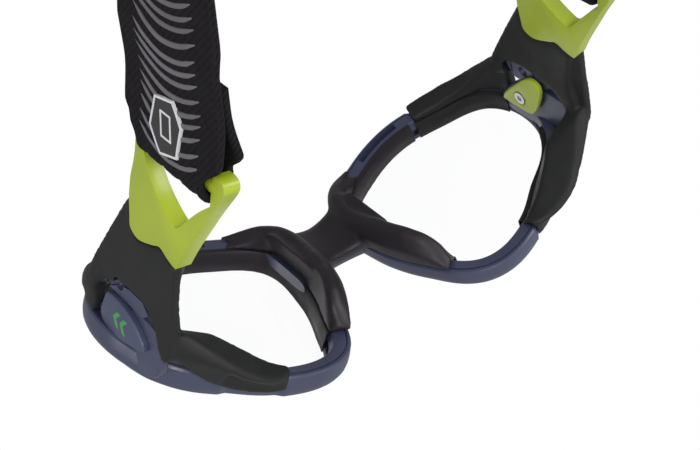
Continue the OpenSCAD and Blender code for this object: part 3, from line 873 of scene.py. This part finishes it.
def plate_on(P, L, pts, h):
    c = np.mean(pts, axis=0)
    V = [offset_point(P, L, *q, e) for e in (-0.1, h) for q in pts]
    n = len(pts)
    F = [tuple(range(n)), tuple(range(2 * n - 1, n - 1, -1))] + [(j, (j + 1) % n, n + (j + 1) % n, n + j) for j in range(n)]
    return V, F


HEX = [(9.5, SZ - 4.4), (7.2, SZ + 2.6), (13.5, SZ + 6.6), (22.5, SZ + 5.0), (24.4, SZ - 2.0), (18.6, SZ - 5.8)]
HEX = [(13.6 + (q[0] - 15.9) * 0.70, SZ + 0.2 + (q[1] - SZ) * 0.78) for q in HEX]
CHEV = [(11.4, SZ - 1.4), (11.4, SZ + 1.6), (16.2, SZ + 2.2), (16.2, SZ - 0.8)]


def emblem(name, P, L):
    V, F = line(P, L, HEX)
    v, f = line(P, L, CHEV, 0.5)
    F += [tuple(len(V) + i for i in q) for q in f]
    V += v
    return make(name, V, F, False)


def ground(name, P, L):
    A = [np.array(a, float) for a in HEX]
    n, V, F, N = 6, [], [], 10
    c = np.mean(A, axis=0)
    for r in range(1, N + 1):
        for i in range(n):
            for t in np.linspace(0, 1, 6, endpoint=False):
                q = c + (A[i] * (1 - t) + A[(i + 1) % n] * t - c) * r / N * 0.985
                V.append(q)
    m = n * 6
    top = [offset_point(P, L, c[0], c[1], 0.42)] + [offset_point(P, L, q[0], q[1], 0.42) for q in V]
    bot = [offset_point(P, L, q[0], q[1], -0.1) for q in V[-m:]]
    F = [(0, 1 + j, 1 + (j + 1) % m) for j in range(m)]
    for r in range(N - 1):
        F += [(1 + r * m + j, 1 + (r + 1) * m + j, 1 + (r + 1) * m + (j + 1) % m, 1 + r * m + (j + 1) % m) for j in range(m)]
    k = len(top)
    F += [(1 + (N - 1) * m + j, k + j, k + (j + 1) % m, 1 + (N - 1) * m + (j + 1) % m) for j in range(m)]
    F.append(tuple(k + j for j in range(m)))
    return make(name, top + bot, F, False)


for s_, P_, L_ in (("left", mainL, LL), ("right", mainR, LR)):
    e_, g_ = emblem("emblem_" + s_, P_, L_), ground("emblem_ground_" + s_, P_, L_)
    if s_ == "right":
        for o in (e_, g_):
            o.data.transform(Matrix.Scale(-1, 4, (1, 0, 0)))
            o.data.flip_normals()
    place(e_, "strap_" + s_, "elastic_black", PRINT)
    place(g_, "strap_" + s_, "elastic_black", SLIDE)

dress(bandL, ELASTIC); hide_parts("strap_run_left", "strap_rear"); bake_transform(bandL)
dress(ribL, SILICONE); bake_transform(ribL)
place(tuckL, "strap_left", "elastic_black", ELASTIC)
place(bandR, "strap_right", "elastic_black", ELASTIC, "strap_run_right")
place(tuckR, "strap_right", "elastic_black", ELASTIC)
place(ribR, "strap_right", "elastic_black", SILICONE)
place(bandB, "strap_back", "elastic_black", ELASTIC, "strap_rear")
place(ribB, "strap_back", "elastic_black", SILICONE)
lo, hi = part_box("strap_tail")
tailP, LT = dense([(lo[0] / MM + 1, BACK + ST + 0.5), (hi[0] / MM, BACK + ST + 0.5)])
tail = band("strap_tail_band", tailP[::-1], [14.4] * len(tailP))
soft(tail, 60)
place(tail, "slide", "elastic_black", ELASTIC, "strap_tail")

# ------------------------------------------------------------------ floor
bpy.ops.mesh.primitive_plane_add(size=12, location=(0, 0, -0.9))
floor = bpy.context.object
floor.name = "floor"
fm, fnt, fb = mat("floor", (0.9, 0.9, 0.9))
fb.inputs["Base Color"].default_value = (0.93, 0.93, 0.93, 1)
fb.inputs["Roughness"].default_value = 0.9
fb.inputs["Emission Color"].default_value = (1.0, 1.0, 1.0, 1)
fb.inputs["Emission Strength"].default_value = 0.35
floor.data.materials.append(fm)
floor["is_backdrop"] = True

lo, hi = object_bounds()
